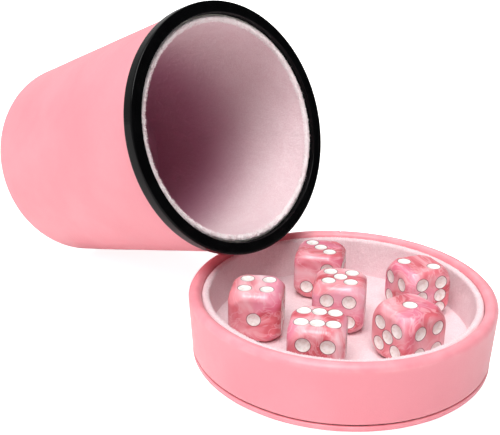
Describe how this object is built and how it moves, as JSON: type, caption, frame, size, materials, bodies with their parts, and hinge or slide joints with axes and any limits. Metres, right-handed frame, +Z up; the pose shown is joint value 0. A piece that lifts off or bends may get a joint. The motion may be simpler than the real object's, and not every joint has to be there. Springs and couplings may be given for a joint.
{
  "type": "dice cup",
  "caption": "Leather-covered tapered dice cup with felt lining and a black rim ring, lying with its mouth over its round felt-lined lid, which holds loose dice.",
  "frame": {"origin": "centre of the lid's underside, on the surface that the lid and the cup's heel stand on", "axes": "+Z up; +X is the level heading of the cup's axis from its base to its mouth"},
  "size_m": [0.1869, 0.0928, 0.1012],
  "materials": {
    "leather_pink": "smooth satin",
    "felt_pink": "short velvety nap",
    "core_plastic": "moulded, hidden",
    "board": "raw grey board",
    "rim_black": "gloss",
    "die_pearl": "polished marbled pearl with white pips"
  },
  "bodies": {
    "lid": {"lid_shell": "core_plastic", "lid_leather_wrap": "leather_pink", "lid_base_leather": "leather_pink", "lid_base_board": "board", "lid_felt_floor": "felt_pink", "lid_liner_strip": "board", "lid_felt_wall": "felt_pink"},
    "cup": {"cup_shell": "core_plastic", "cup_leather_wrap": "leather_pink", "cup_base_leather": "leather_pink", "cup_base_board": "board", "cup_felt_floor": "felt_pink", "cup_felt_wall": "felt_pink", "cup_rim_ring": "rim_black"},
    "die_one": {"die_1": "die_pearl"},
    "die_two": {"die_2": "die_pearl"},
    "die_three": {"die_3": "die_pearl"},
    "die_four": {"die_4": "die_pearl"},
    "die_five": {"die_5": "die_pearl"},
    "die_six": {"die_6": "die_pearl"}
  },
  "joints": [
    {"name": "cup_tip", "type": "hinge", "parent": "lid", "child": "cup", "pos_m": [-0.11734, -0.0025, 0.002], "axis": [0, -1, 0], "range_deg": [0, 72.39]},
    {"name": "die_one_lift", "type": "slide", "parent": "lid", "child": "die_one", "axis": [0.1961, 0, 0.9806], "range_m": [0, 0.05]},
    {"name": "die_two_lift", "type": "slide", "parent": "lid", "child": "die_two", "axis": [0.1961, 0, 0.9806], "range_m": [0, 0.05]},
    {"name": "die_three_lift", "type": "slide", "parent": "lid", "child": "die_three", "axis": [0.1961, 0, 0.9806], "range_m": [0, 0.05]},
    {"name": "die_four_lift", "type": "slide", "parent": "lid", "child": "die_four", "axis": [0.1961, 0, 0.9806], "range_m": [0, 0.05]},
    {"name": "die_five_lift", "type": "slide", "parent": "lid", "child": "die_five", "axis": [0.1961, 0, 0.9806], "range_m": [0, 0.05]},
    {"name": "die_six_lift", "type": "slide", "parent": "lid", "child": "die_six", "axis": [0.1961, 0, 0.9806], "range_m": [0, 0.05]}
  ]
}
